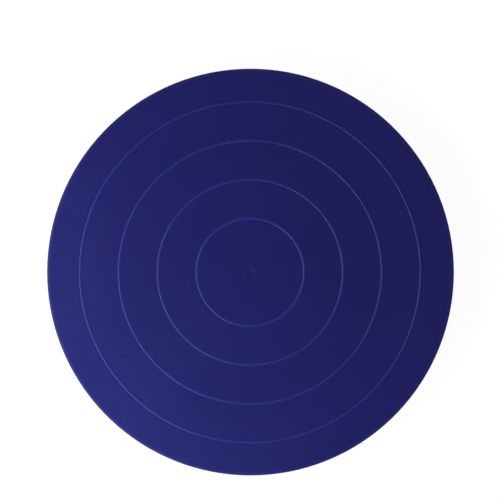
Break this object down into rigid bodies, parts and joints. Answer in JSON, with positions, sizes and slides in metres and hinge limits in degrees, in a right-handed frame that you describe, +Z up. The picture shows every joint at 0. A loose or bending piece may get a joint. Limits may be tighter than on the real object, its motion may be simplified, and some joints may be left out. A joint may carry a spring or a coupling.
{
  "type": "banding wheel",
  "caption": "Low banding wheel: a round plastic wheel head with raised guide rings turns on a caged ball ring over a footed base, held by one screw from below.",
  "frame": {"origin": "on the table under the axis the wheel turns on, at the level of the feet's undersides", "axes": "+Z up along the axis the wheel turns on; +X through the centre of rubber_foot_1"},
  "size_m": [0.254, 0.254, 0.024],
  "materials": {
    "blue_plastic": "satin, fine spark-eroded texture",
    "race_steel": "stamped stainless sheet, polished in the ball track",
    "ball_steel": "mirror-polished stainless",
    "cage_plastic": "natural acetal, slightly waxy",
    "slip_plastic": "natural nylon",
    "zinc_steel": "bright zinc plate",
    "foot_rubber": "moulded black rubber, matte"
  },
  "bodies": {
    "base": {"base_plate": "blue_plastic", "lower_raceway": "race_steel", "lower_raceway_screws": "zinc_steel", "hub_bush": "cage_plastic", "slip_washer": "slip_plastic", "hub_cap": "blue_plastic", "rubber_foot_1": "foot_rubber", "rubber_foot_2": "foot_rubber", "rubber_foot_3": "foot_rubber", "rubber_foot_4": "foot_rubber", "rubber_foot_5": "foot_rubber", "rubber_foot_6": "foot_rubber"},
    "turntable": {"top_plate": "blue_plastic", "upper_raceway": "race_steel", "upper_raceway_screws": "zinc_steel", "retaining_washer": "zinc_steel", "retaining_screw": "zinc_steel"},
    "cage": {"ball_cage": "cage_plastic"},
    "bearing_ball_01": {"bearing_ball_01": "ball_steel"},
    "bearing_ball_02": {"bearing_ball_02": "ball_steel"},
    "bearing_ball_03": {"bearing_ball_03": "ball_steel"},
    "bearing_ball_04": {"bearing_ball_04": "ball_steel"},
    "bearing_ball_05": {"bearing_ball_05": "ball_steel"},
    "bearing_ball_06": {"bearing_ball_06": "ball_steel"},
    "bearing_ball_07": {"bearing_ball_07": "ball_steel"},
    "bearing_ball_08": {"bearing_ball_08": "ball_steel"},
    "bearing_ball_09": {"bearing_ball_09": "ball_steel"},
    "bearing_ball_10": {"bearing_ball_10": "ball_steel"},
    "bearing_ball_11": {"bearing_ball_11": "ball_steel"},
    "bearing_ball_12": {"bearing_ball_12": "ball_steel"},
    "bearing_ball_13": {"bearing_ball_13": "ball_steel"},
    "bearing_ball_14": {"bearing_ball_14": "ball_steel"},
    "bearing_ball_15": {"bearing_ball_15": "ball_steel"},
    "bearing_ball_16": {"bearing_ball_16": "ball_steel"},
    "bearing_ball_17": {"bearing_ball_17": "ball_steel"},
    "bearing_ball_18": {"bearing_ball_18": "ball_steel"},
    "bearing_ball_19": {"bearing_ball_19": "ball_steel"},
    "bearing_ball_20": {"bearing_ball_20": "ball_steel"}
  },
  "joints": [
    {"name": "plate_spin", "type": "hinge", "parent": "base", "child": "turntable", "pos_m": [0, 0, 0], "axis": [0, 0, 1], "continuous": true},
    {"name": "cage_spin", "type": "hinge", "parent": "base", "child": "cage", "pos_m": [0, 0, 0], "axis": [0, 0, 1], "continuous": true},
    {"name": "bearing_ball_01_roll", "type": "hinge", "parent": "cage", "child": "bearing_ball_01", "pos_m": [0.078, 0, 0.012], "axis": [1, 0, 0], "continuous": true},
    {"name": "bearing_ball_02_roll", "type": "hinge", "parent": "cage", "child": "bearing_ball_02", "pos_m": [0.07418, 0.0241, 0.012], "axis": [0.9511, 0.309, 0], "continuous": true},
    {"name": "bearing_ball_03_roll", "type": "hinge", "parent": "cage", "child": "bearing_ball_03", "pos_m": [0.0631, 0.04585, 0.012], "axis": [0.809, 0.5878, 0], "continuous": true},
    {"name": "bearing_ball_04_roll", "type": "hinge", "parent": "cage", "child": "bearing_ball_04", "pos_m": [0.04585, 0.0631, 0.012], "axis": [0.5878, 0.809, 0], "continuous": true},
    {"name": "bearing_ball_05_roll", "type": "hinge", "parent": "cage", "child": "bearing_ball_05", "pos_m": [0.0241, 0.07418, 0.012], "axis": [0.309, 0.9511, 0], "continuous": true},
    {"name": "bearing_ball_06_roll", "type": "hinge", "parent": "cage", "child": "bearing_ball_06", "pos_m": [0, 0.078, 0.012], "axis": [0, 1, 0], "continuous": true},
    {"name": "bearing_ball_07_roll", "type": "hinge", "parent": "cage", "child": "bearing_ball_07", "pos_m": [-0.0241, 0.07418, 0.012], "axis": [-0.309, 0.9511, 0], "continuous": true},
    {"name": "bearing_ball_08_roll", "type": "hinge", "parent": "cage", "child": "bearing_ball_08", "pos_m": [-0.04585, 0.0631, 0.012], "axis": [-0.5878, 0.809, 0], "continuous": true},
    {"name": "bearing_ball_09_roll", "type": "hinge", "parent": "cage", "child": "bearing_ball_09", "pos_m": [-0.0631, 0.04585, 0.012], "axis": [-0.809, 0.5878, 0], "continuous": true},
    {"name": "bearing_ball_10_roll", "type": "hinge", "parent": "cage", "child": "bearing_ball_10", "pos_m": [-0.07418, 0.0241, 0.012], "axis": [-0.9511, 0.309, 0], "continuous": true},
    {"name": "bearing_ball_11_roll", "type": "hinge", "parent": "cage", "child": "bearing_ball_11", "pos_m": [-0.078, 0, 0.012], "axis": [-1, 0, 0], "continuous": true},
    {"name": "bearing_ball_12_roll", "type": "hinge", "parent": "cage", "child": "bearing_ball_12", "pos_m": [-0.07418, -0.0241, 0.012], "axis": [-0.9511, -0.309, 0], "continuous": true},
    {"name": "bearing_ball_13_roll", "type": "hinge", "parent": "cage", "child": "bearing_ball_13", "pos_m": [-0.0631, -0.04585, 0.012], "axis": [-0.809, -0.5878, 0], "continuous": true},
    {"name": "bearing_ball_14_roll", "type": "hinge", "parent": "cage", "child": "bearing_ball_14", "pos_m": [-0.04585, -0.0631, 0.012], "axis": [-0.5878, -0.809, 0], "continuous": true},
    {"name": "bearing_ball_15_roll", "type": "hinge", "parent": "cage", "child": "bearing_ball_15", "pos_m": [-0.0241, -0.07418, 0.012], "axis": [-0.309, -0.9511, 0], "continuous": true},
    {"name": "bearing_ball_16_roll", "type": "hinge", "parent": "cage", "child": "bearing_ball_16", "pos_m": [0, -0.078, 0.012], "axis": [0, -1, 0], "continuous": true},
    {"name": "bearing_ball_17_roll", "type": "hinge", "parent": "cage", "child": "bearing_ball_17", "pos_m": [0.0241, -0.07418, 0.012], "axis": [0.309, -0.9511, 0], "continuous": true},
    {"name": "bearing_ball_18_roll", "type": "hinge", "parent": "cage", "child": "bearing_ball_18", "pos_m": [0.04585, -0.0631, 0.012], "axis": [0.5878, -0.809, 0], "continuous": true},
    {"name": "bearing_ball_19_roll", "type": "hinge", "parent": "cage", "child": "bearing_ball_19", "pos_m": [0.0631, -0.04585, 0.012], "axis": [0.809, -0.5878, 0], "continuous": true},
    {"name": "bearing_ball_20_roll", "type": "hinge", "parent": "cage", "child": "bearing_ball_20", "pos_m": [0.07418, -0.0241, 0.012], "axis": [0.9511, -0.309, 0], "continuous": true}
  ],
  "couplings": [
    {"joint": "cage_spin", "follows": "plate_spin", "ratio": 0.5},
    {"joint": "bearing_ball_01_roll", "follows": "plate_spin", "ratio": -12.283},
    {"joint": "bearing_ball_02_roll", "follows": "plate_spin", "ratio": -12.283},
    {"joint": "bearing_ball_03_roll", "follows": "plate_spin", "ratio": -12.283},
    {"joint": "bearing_ball_04_roll", "follows": "plate_spin", "ratio": -12.283},
    {"joint": "bearing_ball_05_roll", "follows": "plate_spin", "ratio": -12.283},
    {"joint": "bearing_ball_06_roll", "follows": "plate_spin", "ratio": -12.283},
    {"joint": "bearing_ball_07_roll", "follows": "plate_spin", "ratio": -12.283},
    {"joint": "bearing_ball_08_roll", "follows": "plate_spin", "ratio": -12.283},
    {"joint": "bearing_ball_09_roll", "follows": "plate_spin", "ratio": -12.283},
    {"joint": "bearing_ball_10_roll", "follows": "plate_spin", "ratio": -12.283},
    {"joint": "bearing_ball_11_roll", "follows": "plate_spin", "ratio": -12.283},
    {"joint": "bearing_ball_12_roll", "follows": "plate_spin", "ratio": -12.283},
    {"joint": "bearing_ball_13_roll", "follows": "plate_spin", "ratio": -12.283},
    {"joint": "bearing_ball_14_roll", "follows": "plate_spin", "ratio": -12.283},
    {"joint": "bearing_ball_15_roll", "follows": "plate_spin", "ratio": -12.283},
    {"joint": "bearing_ball_16_roll", "follows": "plate_spin", "ratio": -12.283},
    {"joint": "bearing_ball_17_roll", "follows": "plate_spin", "ratio": -12.283},
    {"joint": "bearing_ball_18_roll", "follows": "plate_spin", "ratio": -12.283},
    {"joint": "bearing_ball_19_roll", "follows": "plate_spin", "ratio": -12.283},
    {"joint": "bearing_ball_20_roll", "follows": "plate_spin", "ratio": -12.283}
  ]
}
